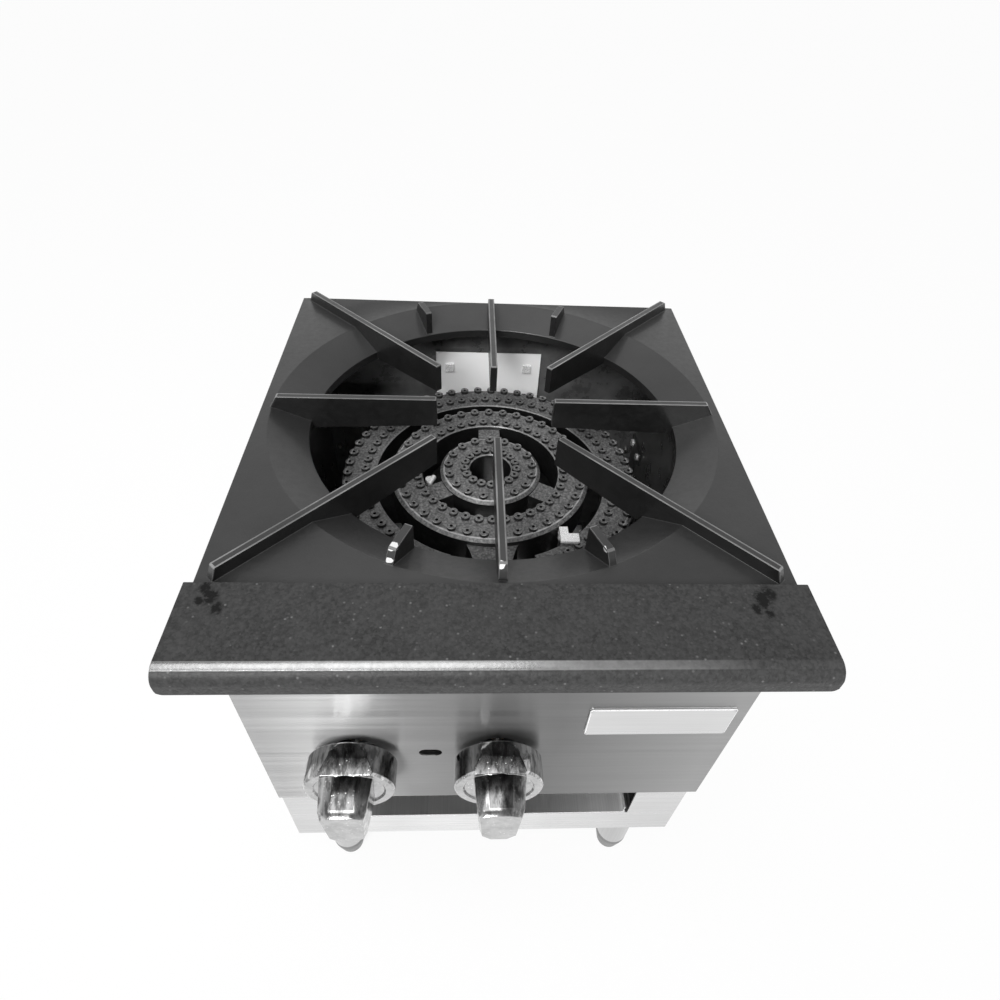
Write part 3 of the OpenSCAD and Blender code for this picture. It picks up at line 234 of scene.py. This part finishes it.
def smudges_and_shadow(n, coord):
    """1 inside the ledge's dark marks, smudge marks and partly painted shadow, which noise breaks
    up.
    """
    marks = None
    for x, y, across, deep in SMUDGES_AND_SHADOW:
        far = n.away(coord, (x, y + AXIS_Y, 0), (across, deep, 0))
        blot = n.math("SUBTRACT", 1.0, far, clamp=True)
        marks = blot if marks is None else n.math("MAXIMUM", marks, blot)
    smear = n.noise(coord, 210.0, 5.0, 0.75)
    return n.ramp(n.times(marks, n.ramp(smear, [(0.35, 0.2), (0.6, 1.0)])),
                  [(0.08, 0.0), (0.42, 1.0)])


def painted_nose_highlight(n, xyz):
    """1 on the band of the ledge's nose: glossy from wear, with a painted highlight that fades to
    the right.
    """
    low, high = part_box("front_ledge")
    over = n.math("SUBTRACT", xyz[2], high[2] - NOSE_R)
    ahead = n.math("SUBTRACT", low[1] + NOSE_R, xyz[1])
    bulge = n.plus(n.times(over, NOSE_UP / NOSE_R), n.times(ahead, NOSE_AHEAD / NOSE_R))
    return n.times(n.ramp(bulge, NOSE_BAND), n.ramp(n.plus(xyz[0], 0.5), NOSE_FADE))


def within(limit_x, y0, y1):
    """Mask of what lies inside the body, for its inner faces painted dark: partly burnt dark,
    partly painted shade.
    """
    def build(n, xyz):
        mask = n.math("LESS_THAN", n.math("ABSOLUTE", xyz[0]), limit_x)
        mask = n.times(mask, n.math("GREATER_THAN", xyz[1], y0))
        return n.times(mask, n.math("LESS_THAN", xyz[1], y1))
    return build


# ---------------------------------------------------------------- materials
def iron(name, low, high, side, rough, grain=620.0, relief=0.0004, ash=0.0, coat=0.0,
         rim_highlights=False, rib_glints=()):
    """Cast iron: sandy grain, cloudy tone, and upright faces darker than upper ones: painted
    shade.

    The tone runs from low to high on top and is about side on upright faces, whose darker
    tone is painted shade. Ash is the tone of dust on it, and coat the weight of its thin
    seasoned gloss. The burner rings' edges and the given spots can get painted highlights.
    """
    m, n, bsdf, coord, xyz = new_material(name)
    fine = n.noise(coord, grain, 3.0, 0.65)
    grit = n.noise(coord, grain * 0.3, 4.0, 0.6, offset=(3.1, 1.7, 0.4))
    tone = n.ramp(n.noise(coord, 13.0, 5.0, 0.6), [(0.3, low), (0.72, high)])
    if ash:
        dust = n.noise(coord, grain * 0.5, 4.0, 0.7, offset=(0.7, 0.2, 5.0))
        tone = n.mix(n.ramp(dust, [(0.42, 0.0), (0.7, 1.0)]), tone, grey(ash))
    # Upright faces get a darker tone: painted shade
    darkened = n.ramp(n.noise(coord, 40.0, 4.0, 0.6), [(0.3, side * 0.7), (0.7, side * 1.3)])
    up = facing_up(n)
    tone = n.mix(up, darkened, tone)
    if rim_highlights:
        # Painted highlight along the burner rings' edges, on upper faces
        wear_and_highlight = n.times(painted_rim_highlights(n, xyz), up)
        wear_and_highlight = n.times(wear_and_highlight, n.ramp(grit, [(0.3, 0.45), (0.6, 1.0)]))
        tone = n.mix(wear_and_highlight, tone, grey(0.48))
    if rib_glints:
        # Pale, half metallic spots at the front rib ends: painted highlights
        glint = painted_glint_spots(n, coord, rib_glints)
        tone = n.mix(glint, tone, grey(0.85))
        n.fill(bsdf, {"Metallic": n.times(glint, 0.5)})
    height = n.plus(n.times(fine, 0.6), grit)
    n.fill(bsdf, {
        "Base Color": tone,
        "Roughness": n.ramp(grit, [(0.3, rough - 0.06), (0.7, rough + 0.08)]),
        "Normal": n.bump(height, 0.35, relief),
        "Coat Weight": coat,
        "Coat Roughness": 0.16,
    })
    return m


def powder_coat(name, low, high, rough):
    """Black powder coat: pebbled skin, pale flecks, smudge marks partly painted shadow, a nose
    glossy from wear with a painted highlight.
    """
    m, n, bsdf, coord, xyz = new_material(name)
    pebble, seed = n.cells(coord, 520.0)
    spot, rare = n.cells(coord, 300.0)
    cloud = n.noise(coord, 26.0, 6.0, 0.65)
    mottle = n.noise(coord, 240.0, 4.0, 0.7)
    tone = n.ramp(cloud, [(0.3, low), (0.7, high)])
    tone = n.mix(n.ramp(mottle, [(0.35, 0.0), (0.75, 0.8)]), tone, grey(high * 1.9))
    tone = n.mix(n.ramp(seed, [(0.40, 0.0), (1.0, 0.5)]), tone, grey(high * 2.0))
    fleck = n.times(n.ramp(spot, [(0.10, 1.0), (0.36, 0.0)]),
                    n.ramp(rare, [(0.88, 0.0), (0.99, 0.8)]))
    tone = n.mix(fleck, tone, grey(0.18))
    smudge_and_shadow = smudges_and_shadow(n, coord)
    # Dark marks at the ledge's ends: smudge marks and, at the left end, partly painted shadow
    tone = n.mix(n.times(smudge_and_shadow, 0.95), tone, grey(0.003))
    # The nose band: glossy from wear, and its paler metal tone is a painted highlight fading to
    # the right
    wear_and_highlight = painted_nose_highlight(n, xyz)
    nose = n.ramp(mottle, [(0.35, 0.33), (0.65, 0.40)])
    fine = n.noise(coord, 1500.0, 2.0, 0.5)
    skin = n.ramp(fine, [(0.3, rough - 0.06), (0.7, rough + 0.08)])
    skin = n.mix(smudge_and_shadow, skin, grey(0.8))
    height = n.plus(n.times(pebble, -1.0), n.times(seed, 0.5))
    n.fill(bsdf, {
        "Base Color": n.mix(wear_and_highlight, tone, nose),
        "Metallic": wear_and_highlight,
        "Roughness": n.mix(wear_and_highlight, skin, grey(0.26)),
        "Normal": n.bump(height, n.ramp(wear_and_highlight, [(0.0, 0.35), (1.0, 0.1)]), 0.0003),
        "Specular IOR Level": 0.2,
    })
    return m


def brushed(name, tone, rough, along="X", contrast=0.10, across=None, soot_and_shade=None, aniso=0.6):
    """Brushed steel: fine lines along one axis and soft clouds.

    Across is an optional ramp of tones from side to side, over 2 x + 0.5, which paints
    reflections and shade that change across the width. The optional mask made by within()
    marks what is painted dark: partly burnt dark, partly painted shade inside the body.
    """
    m, n, bsdf, coord, xyz = new_material(name)
    stretch = {"X": (0.012, 1.0, 1.0), "Y": (1.0, 0.012, 1.0), "Z": (1.0, 1.0, 0.012)}[along]
    lines = n.noise(coord, 900.0, 3.0, 0.6, stretch=stretch)
    broad = n.noise(coord, 144.0, 3.0, 0.6, stretch=stretch, offset=(0.3, 0.9, 2.1))
    cloud = n.noise(coord, 6.0, 3.0, 0.5)
    colour = n.ramp(lines, [(0.25, 1 - contrast), (0.75, 1 + contrast)])
    base = grey(tone)
    # Tones across the width paint reflections and shade
    if across:
        wave = n.plus(xyz[0], n.times(n.math("SUBTRACT", cloud, 0.5), 0.02))
        base = n.ramp(n.plus(n.times(wave, 2.0), 0.5), across)
    colour = n.mix(1.0, colour, base, "MULTIPLY")
    colour = n.mix(n.ramp(cloud, [(0.35, 0.0), (0.7, 0.22)]), colour, grey(tone * 0.7))
    roughness = n.ramp(broad, [(0.25, rough - 0.04), (0.75, rough + 0.06)])
    metallic = 1.0
    if soot_and_shade:
        # Inside the body: partly burnt dark, partly painted shade
        inside, dark = soot_and_shade(n, xyz), n.noise(coord, 26.0, 5.0, 0.65)
        colour = n.mix(inside, colour, n.ramp(dark, [(0.3, 0.06), (0.75, 0.18)]))
        roughness = n.mix(inside, roughness, n.ramp(dark, [(0.3, 0.22), (0.7, 0.42)]))
        metallic = n.ramp(inside, [(0.0, 1.0), (1.0, 0.2)])
    height = n.plus(lines, n.times(broad, 0.5))
    n.fill(bsdf, {
        "Base Color": colour,
        "Metallic": metallic,
        "Roughness": roughness,
        "Anisotropic": aniso,
        "Anisotropic Rotation": 0.25 if along == "X" else 0.0,
        "Tangent": n.add("ShaderNodeTangent", direction_type="RADIAL", axis="Z").outputs[0],
        "Normal": n.bump(height, 0.2, 0.00012),
    })
    return m


def plated(name, tone, rough, warm=0.0, metal=1.0, mottle=0.12, scale=60.0):
    """Plain or plated metal with a mottled finish."""
    m, n, bsdf, coord, _ = new_material(name)
    cloud = n.noise(coord, scale, 5.0, 0.6)
    fine = n.noise(coord, scale * 16, 3.0, 0.6)
    n.fill(bsdf, {
        "Base Color": n.ramp(cloud, [(0.3, grey(tone * (1 - mottle), warm)),
                                     (0.72, grey(tone * (1 + mottle), warm))]),
        "Metallic": metal,
        "Roughness": n.ramp(fine, [(0.3, rough - 0.05), (0.7, rough + 0.06)]),
        "Normal": n.bump(fine, 0.15, 0.0001),
    })
    return m


def chrome(name):
    """Polished die casting, whose tone carries painted reflections: streaks along the grip,
    dark blotches, and pale glints painted on small pits.

    Front faces stay calm, and flat upper faces are painted darker: painted shade.
    """
    m, n, bsdf, coord, _ = new_material(name)
    streak = n.noise(coord, 150.0, 3.0, 0.6, stretch=(1.0, 0.08, 1.0))
    cloud = n.noise(coord, 60.0, 4.0, 0.6)
    blotch = n.noise(coord, 210.0, 3.0, 0.6, stretch=(1.0, 0.35, 1.0), offset=(4.0, 1.0, 2.0))
    # Streaks and dark blotches in the tone are painted reflections
    tone = n.ramp(streak, [(0.3, 0.34), (0.5, 0.50), (0.66, 0.74)])
    tone = n.mix(n.ramp(blotch, [(0.46, 0.0), (0.60, 0.75)]), tone, grey(0.13))
    ahead = n.ramp(n.math("ABSOLUTE", n.normal(1)), [(0.75, 0.0), (0.9, 1.0)])
    tone = n.mix(n.times(ahead, 0.85), tone, n.ramp(cloud, [(0.3, 0.42), (0.7, 0.60)]))
    # Flat upper faces painted darker: painted shade
    painted_top_shade = n.times(facing_up(n, 0.90, 0.99), 0.9)
    tone = n.mix(painted_top_shade, tone, n.ramp(blotch, [(0.42, 0.20), (0.62, 0.05)]))
    # Small pits, with pale glints painted on them
    spot, rare = n.cells(coord, 420.0)
    pit_and_glint = n.times(n.ramp(spot, [(0.1, 1.0), (0.35, 0.0)]), n.ramp(rare, [(0.8, 0.0), (0.95, 0.8)]))
    height = n.plus(streak, n.times(pit_and_glint, -0.6))
    n.fill(bsdf, {
        "Base Color": n.mix(pit_and_glint, tone, grey(0.95)),
        "Metallic": 1.0,
        "Roughness": n.ramp(cloud, [(0.3, 0.10), (0.7, 0.20)]),
        "Normal": n.bump(height, n.ramp(ahead, [(0.0, 0.10), (1.0, 0.015)]), 0.0004),
    })
    return m


# Half width, front and back of what is painted dark, partly burnt dark and partly painted
# shade of the body's inside: inside the side and rear panels, on the front frame's inner
# face, and on the tray's floor
INSIDE = within(0.2197, AXIS_Y - 0.2399, AXIS_Y + 0.2175)
BEHIND = within(0.21, AXIS_Y - 0.2386, 1.0)
BAKED_AND_SHADED = within(0.155, AXIS_Y - 0.20, AXIS_Y + 0.18)

M = {
    "grate": iron("grate_iron", 0.016, 0.028, 0.008, 0.40, coat=0.3, rib_glints=RIB_END_GLINTS),
    "burner": iron("burner_iron", 0.03, 0.075, 0.005, 0.42, grain=760.0, relief=0.0007,
                   ash=0.24, coat=0.4, rim_highlights=True),
    "ledge": powder_coat("ledge_coat", 0.020, 0.034, 0.42),
    # The panel's tones across the width are a painted reflection
    "panel": brushed("panel_steel", 0.45, 0.34, contrast=0.05, aniso=1.0, across=[
        (0.08, 0.26), (0.22, 0.40), (0.34, 0.21), (0.62, 0.22), (0.92, 0.44)]),
    # The frame's tones across the width are painted reflections and shade; its inner face is
    # painted dark, partly burnt dark and partly painted shade
    "frame": brushed("frame_steel", 0.50, 0.28, soot_and_shade=BEHIND, across=[
        (0.12, 0.72), (0.2, 0.86), (0.62, 0.86), (0.84, 0.70)]),
    # The body's inner faces are painted dark: partly burnt dark, partly painted shade
    "body": brushed("body_steel", 0.50, 0.34, "Z", soot_and_shade=INSIDE),
    "shield": plated("shield_sheet", 0.96, 0.40, metal=0.0, mottle=0.03, scale=12.0),
    "zinc": plated("zinc_sheet", 0.22, 0.45, mottle=0.30, scale=30.0),
    "darkened": plated("sooty_sheet", 0.055, 0.50, metal=0.5, mottle=0.45, scale=30.0),
    # The tray's floor is painted dark: partly burnt-on grease, partly painted shade
    "tray": brushed("tray_steel", 0.82, 0.42, "Y", soot_and_shade=BAKED_AND_SHADED),
    "chrome": chrome("knob_chrome"),
    "brass": plated("valve_brass", 0.50, 0.30, warm=0.22),
    "tube": plated("tube_aluminium", 0.60, 0.32),
    "fastener": plated("zinc_fastener", 0.62, 0.28, warm=0.01),
    "pipe": iron("black_pipe", 0.045, 0.075, 0.05, 0.46),
    "leg": brushed("leg_steel", 0.56, 0.30, "Z"),
    "foot": plated("foot_metal", 0.20, 0.42, metal=0.6),
    "bright": plated("bright_stainless", 0.92, 0.26, metal=0.35, mottle=0.05),
    "badge": brushed("badge_steel", 0.72, 0.30, contrast=0.05),
    # Brighter iron for the grate's rounded rib edges: partly wear from pots, partly a painted
    # highlight
    "wear_and_highlight": iron("grate_edge", 0.05, 0.30, 0.06, 0.32, coat=0.3),
    "rim": plated("badge_rim", 0.95, 0.30, metal=0.3, mottle=0.04),
}

# The CAD nodes that each material goes on; the grate's edge material, partly wear and partly
# a painted highlight, and the badge's rim material are for eased edges alone
USES = {
    "grate": ["top_grate"],
    "burner": ["outer_burner", "inner_burner"],
    "ledge": ["front_ledge"],
    "panel": ["control_panel"],
    "badge": ["badge_plate"],
    "frame": ["front_frame"],
    "body": ["left_side_panel", "right_side_panel", "rear_panel"],
    "shield": ["rear_shield"],
    "zinc": ["base_panel", "orifice_bracket", "inner_air_shutter", "outer_air_shutter",
             "manifold_brackets", "pipe_hanger", "left_tray_runner", "right_tray_runner"],
    "darkened": ["front_burner_rail", "rear_burner_rail", "left_support_bar", "right_support_bar"],
    "tray": ["drip_tray"],
    "chrome": ["left_knob", "right_knob"],
    "brass": ["inner_orifice", "outer_orifice", "left_gas_valve", "right_gas_valve",
              "pilot_valve"],
    "tube": ["inner_feed_tube", "outer_feed_tube", "front_pilot_tube", "inner_pilot_tube"],
    "fastener": ["left_valve_stem", "right_valve_stem", "ledge_bolts", "leg_bolts",
                 "panel_screws", "rear_panel_screws"],
    "pipe": ["gas_manifold", "supply_elbow", "supply_pipe"],
    "leg": ["front_left_leg", "front_right_leg", "rear_left_leg", "rear_right_leg"],
    "foot": ["front_left_foot", "front_right_foot", "rear_left_foot", "rear_right_foot"],
    "bright": ["front_pilot_head", "inner_pilot_head", "shield_bolts", "hanger_screws"],
}
for key, names in USES.items():
    for name in names:
        mesh = NODES[name].data
        if not mesh.materials:
            mesh.materials.append(M[key])
        for i in range(len(mesh.materials)):
            mesh.materials[i] = M[key]


# ---------------------------------------------------------------- eased copies of CAD parts
def prepare(mesh, angle, weigh):
    """Welds a mesh, splits it into triangles, and weights its edges sharper than angle."""
    bm = bmesh.new()
    bm.from_mesh(mesh)
    bmesh.ops.remove_doubles(bm, verts=bm.verts, dist=0.00001)
    bmesh.ops.dissolve_limit(bm, angle_limit=math.radians(0.6), verts=bm.verts, edges=bm.edges)
    bmesh.ops.triangulate(bm, faces=bm.faces, quad_method="BEAUTY", ngon_method="BEAUTY")
    for face in bm.faces:
        face.smooth = True
    weight = bm.edges.layers.float.new("bevel_weight_edge")
    for side in bm.edges:
        if len(side.link_faces) == 2 and side.calc_face_angle(0.0) > math.radians(angle):
            side[weight] = weigh(side)
    bm.to_mesh(mesh)
    bm.free()


def eased(node, width, segments=2, angle=30.0, low_width=None, above=0.0, flat=False,
          edge=None):
    """A copy of a CAD part whose edges sharper than angle are rounded; it stands for it.

    Edges up to the height above get low_width instead, where one is given. A flat part
    keeps plain shading. Edge is a material for the rounded edges over the height above.
    """
    def weigh(side):
        low = low_width is not None and min(v.co.z for v in side.verts) < above
        return low_width / width if low else 1.0

    mesh = NODES[node].data.copy()
    mesh.name = node + "_eased"
    old = mesh.attributes.get("custom_normal")
    if old:
        mesh.attributes.remove(old)
    piece = bpy.data.objects.new(node + "_eased", mesh)
    scene.collection.objects.link(piece)
    prepare(mesh, angle, weigh)
    bevel = piece.modifiers.new("ease", "BEVEL")
    bevel.width = width
    bevel.segments = segments
    bevel.limit_method = "WEIGHT"
    bevel.use_clamp_overlap = False
    bevel.miter_outer = "MITER_SHARP"
    bevel.face_strength_mode = "FSTR_ALL"
    if edge:
        mesh.materials.append(M[edge])
        bevel.material = 1
    if not flat:
        weighted = piece.modifiers.new("even", "WEIGHTED_NORMAL")
        weighted.use_face_influence = True
    bpy.context.view_layer.objects.active = piece
    piece.select_set(True)
    for modifier in list(piece.modifiers):
        bpy.ops.object.modifier_apply(modifier=modifier.name)
    piece.select_set(False)
    mesh = piece.data
    if flat:
        mesh.shade_flat()
    if edge and above:
        for face in mesh.polygons:
            if face.center.z < above:
                face.material_index = 0
    low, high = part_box(node)
    for vert in mesh.vertices:
        vert.co = [min(max(c, a), b) for c, a, b in zip(vert.co, low, high)]
    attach(piece, BODY_OF[node])
    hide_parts(node)


eased("badge_plate", 0.0009, flat=True, edge="rim")
eased("drip_tray", 0.0003, flat=True)
for node in ("left_knob", "right_knob", "front_ledge", "shield_bolts"):
    eased(node, 0.0005)
eased("front_pilot_head", 0.0006)
eased("inner_pilot_head", 0.0005)
# The rounded rib edges get the brighter edge iron: partly wear, partly a painted highlight
eased("top_grate", 0.0014, segments=3, angle=11.0, low_width=0.0006,
      above=GRATE_Z + 0.0005, edge="wear_and_highlight")


# ---------------------------------------------------------------- floor, light and background
def seen_ray(n):
    """1 where the camera sees a surface, directly or in metal or glass."""
    path = n.add("ShaderNodeLightPath").outputs
    seen = n.math("MAXIMUM", path["Is Camera Ray"], path["Is Glossy Ray"])
    return n.math("MAXIMUM", seen, path["Is Transmission Ray"])


def stage_floor(half=40.0):
    """White floor: it glows where it is seen, and still keeps the object's shadow."""
    mesh = bpy.data.meshes.new("floor")
    mesh.from_pydata([(-half, -half, 0), (half, -half, 0), (half, half, 0), (-half, half, 0)],
                     [], [(0, 1, 2, 3)])
    floor = bpy.data.objects.new("floor", mesh)
    scene.collection.objects.link(floor)
    m = bpy.data.materials.new("floor_white")
    m.use_nodes = True
    n = Nodes(m.node_tree)
    bsdf = m.node_tree.nodes["Principled BSDF"]
    n.fill(bsdf, {"Base Color": grey(0.96), "Roughness": 0.9, "Specular IOR Level": 0.1})
    glow = n.add("ShaderNodeEmission", {"Color": grey(1.0), "Strength": 1.0})
    share = n.times(seen_ray(n), 0.87)
    mixed = n.add("ShaderNodeMixShader", {0: share, 1: bsdf.outputs[0], 2: glow.outputs[0]})
    n.fill(m.node_tree.nodes["Material Output"], {"Surface": mixed.outputs[0]})
    mesh.materials.append(m)


def world_light():
    """White up to the horizon and darker overhead, at full strength only where seen."""
    world = bpy.data.worlds.new("studio")
    scene.world = world
    world.use_nodes = True
    n = Nodes(world.node_tree)
    way = n.add("ShaderNodeTexCoord").outputs["Generated"]
    height = n.add("ShaderNodeSeparateXYZ", {"Vector": way}).outputs[2]
    n.fill(world.node_tree.nodes["Background"], {
        "Color": n.ramp(height, [(0.45, 1.0), (0.85, 0.26)]),
        "Strength": n.plus(n.times(seen_ray(n), 0.70), 0.30),
    })


def light(name, kind, way, power):
    """A lamp that shines along the vector way."""
    data = bpy.data.lights.new(name, kind)
    data.energy = power
    lamp = bpy.data.objects.new(name, data)
    scene.collection.objects.link(lamp)
    lamp.rotation_euler = Vector(way).to_track_quat("-Z", "Y").to_euler()
    return lamp


def area_light(name, place, target, size, power):
    lamp = light(name, "AREA", Vector(target) - Vector(place), power)
    lamp.location = place
    lamp.data.shape = "RECTANGLE"
    lamp.data.size, lamp.data.size_y = size


stage_floor()
world_light()
area_light("overhead", (-0.42, -0.30, 2.20), (-0.42, -0.30, 0.6), (1.15, 1.0), 9.0)
area_light("back_box", (-0.10, 0.80, 2.50), (0, -0.1, 0.6), (1.2, 1.0), 4.0)
sun = light("front_sun", "SUN", (0.25, 0.72, -0.65), 3.1)
sun.data.angle = math.radians(25.0)
